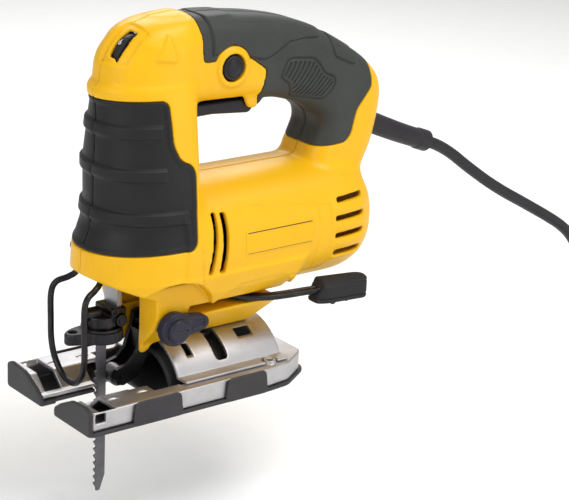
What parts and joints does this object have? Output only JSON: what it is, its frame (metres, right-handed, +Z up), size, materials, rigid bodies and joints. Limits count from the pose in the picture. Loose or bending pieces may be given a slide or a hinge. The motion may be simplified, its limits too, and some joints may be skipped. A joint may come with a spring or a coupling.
{
  "type": "corded jigsaw",
  "caption": "Corded jigsaw with a yellow clamshell body, D-handle, toolless blade clamp, wire guard, tilting shoe and a long mains lead with a plug.",
  "frame": {"origin": "middle of the sole, on the underside of the shoe, under the tool's centre plane; the blade axis is 41 mm ahead of it", "axes": "+X the cutting direction (towards the blade), +Y the tool's left side, +Z up"},
  "size_m": [0.5095, 0.1321, 0.267],
  "materials": {
    "yellow_shell": "satin moulded plastic",
    "soft_grip": "matt soft overmould with ribs",
    "handle_grip": "matt soft overmould",
    "label": "blank printed film",
    "screw_steel": "zinc plated",
    "black_plastic": "fine texture",
    "bright_steel": "ground",
    "lamination": "stacked sheet",
    "copper": null,
    "brass": "drawn",
    "carbon": "pressed carbon",
    "circuit_board": "solder mask",
    "cast_aluminium": "die cast",
    "dark_steel": "hardened",
    "black_steel": "black oxide",
    "blue_grey_plastic": "satin",
    "shoe_steel": "pressed sheet, zinc plated",
    "grey_plastic": "fine texture",
    "black_rubber": "matt"
  },
  "bodies": {
    "frame": {"housing_left": "yellow_shell", "housing_right": "yellow_shell", "front_grip_left": "soft_grip", "front_grip_right": "soft_grip", "handle_grip_left": "handle_grip", "handle_grip_right": "handle_grip", "side_label": "label", "housing_screw_1": "screw_steel", "housing_screw_2": "screw_steel", "housing_screw_3": "screw_steel", "housing_screw_4": "screw_steel", "housing_screw_5": "screw_steel", "trigger_spring": "bright_steel", "switch_module": "black_plastic", "speed_board": "circuit_board", "stator_core": "lamination", "field_coil_front": "copper", "field_coil_rear": "copper", "front_bearing": "bright_steel", "rear_bearing": "bright_steel", "brush_holder_left": "brass", "brush_holder_right": "brass", "carbon_brush_left": "carbon", "carbon_brush_right": "carbon", "gear_case": "cast_aluminium", "gear_axle": "bright_steel", "plunger_guide_lower": "brass", "plunger_guide_upper": "brass", "fork_pin": "bright_steel", "wire_guard": "black_steel", "bevel_bolt": "dark_steel", "strain_relief": "black_rubber", "cord_lead": "black_rubber", "cord_coil": "black_rubber", "plug": "black_plastic"},
    "trigger": {"trigger": "black_plastic"},
    "lock_button": {"lock_on_button": "black_plastic"},
    "dial": {"speed_dial": "black_plastic"},
    "rotor": {"motor_shaft": "bright_steel", "armature_core": "lamination", "commutator": "copper", "cooling_fan": "black_plastic"},
    "gear": {"drive_gear": "bright_steel", "crank_pin": "bright_steel"},
    "plunger": {"plunger": "dark_steel", "scotch_yoke": "bright_steel", "clamp_body": "black_steel", "clamp_spring": "bright_steel", "clamp_screw": "bright_steel", "blade": "dark_steel"},
    "clamp_lever": {"clamp_lever": "black_plastic"},
    "fork": {"roller_fork": "black_steel"},
    "roller": {"guide_roller": "dark_steel"},
    "pendulum_lever": {"pendulum_lever": "blue_grey_plastic"},
    "bevel_lever": {"bevel_lever": "dark_steel", "lever_grip": "black_rubber"},
    "shoe": {"shoe_plate": "shoe_steel", "shoe_bracket": "shoe_steel", "shoe_cover": "grey_plastic", "dust_duct": "grey_plastic"}
  },
  "joints": [
    {"name": "trigger_squeeze", "type": "hinge", "parent": "frame", "child": "trigger", "pos_m": [-0.006, 0, 0.1585], "axis": [0, 1, 0], "range_deg": [0, 8], "stiffness_Nm_per_rad": 0.8, "springref_deg": -17.19, "deforming": ["trigger_spring"]},
    {"name": "lock_button_press", "type": "slide", "parent": "frame", "child": "lock_button", "axis": [0, -1, 0], "range_m": [0, 0.003], "stiffness_N_per_m": 500, "springref_m": -0.004},
    {"name": "speed_dial_turn", "type": "hinge", "parent": "frame", "child": "dial", "pos_m": [0.029, 0.0062, 0.184], "axis": [0, 1, 0], "range_deg": [-300, 0]},
    {"name": "gear_turn", "type": "hinge", "parent": "frame", "child": "gear", "pos_m": [0.0185, 0, 0.1145], "axis": [1, 0, 0], "continuous": true},
    {"name": "motor_spin", "type": "hinge", "parent": "frame", "child": "rotor", "pos_m": [-0.03, 0, 0.083], "axis": [1, 0, 0], "continuous": true},
    {"name": "plunger_stroke", "type": "slide", "parent": "frame", "child": "plunger", "axis": [0, 0, 1], "range_m": [-0.004, 0.016]},
    {"name": "clamp_lever_turn", "type": "hinge", "parent": "plunger", "child": "clamp_lever", "pos_m": [0.042, 0, 0.037], "axis": [0, 0, 1], "range_deg": [0, 60], "stiffness_Nm_per_rad": 0.1, "springref_deg": -28.65},
    {"name": "fork_swing", "type": "hinge", "parent": "frame", "child": "fork", "pos_m": [0.015, 0, 0.04], "axis": [0, 1, 0], "range_deg": [0, 4], "stiffness_Nm_per_rad": 2, "springref_deg": -5.73},
    {"name": "roller_spin", "type": "hinge", "parent": "fork", "child": "roller", "pos_m": [0.0331, 0, 0.012], "axis": [0, 1, 0], "continuous": true},
    {"name": "pendulum_select", "type": "hinge", "parent": "frame", "child": "pendulum_lever", "pos_m": [0.017, 0.03, 0.044], "axis": [0, 1, 0], "range_deg": [0, 90]},
    {"name": "bevel_lever_turn", "type": "hinge", "parent": "frame", "child": "bevel_lever", "pos_m": [-0.019, 0, 0.0495], "axis": [0, 0, -1], "range_deg": [0, 55]},
    {"name": "shoe_tilt", "type": "hinge", "parent": "frame", "child": "shoe", "pos_m": [-0.023, 0, 0], "axis": [1, 0, 0], "range_deg": [-45, 45]}
  ],
  "couplings": [
    {"joint": "motor_spin", "follows": "gear_turn", "ratio": -6}
  ]
}
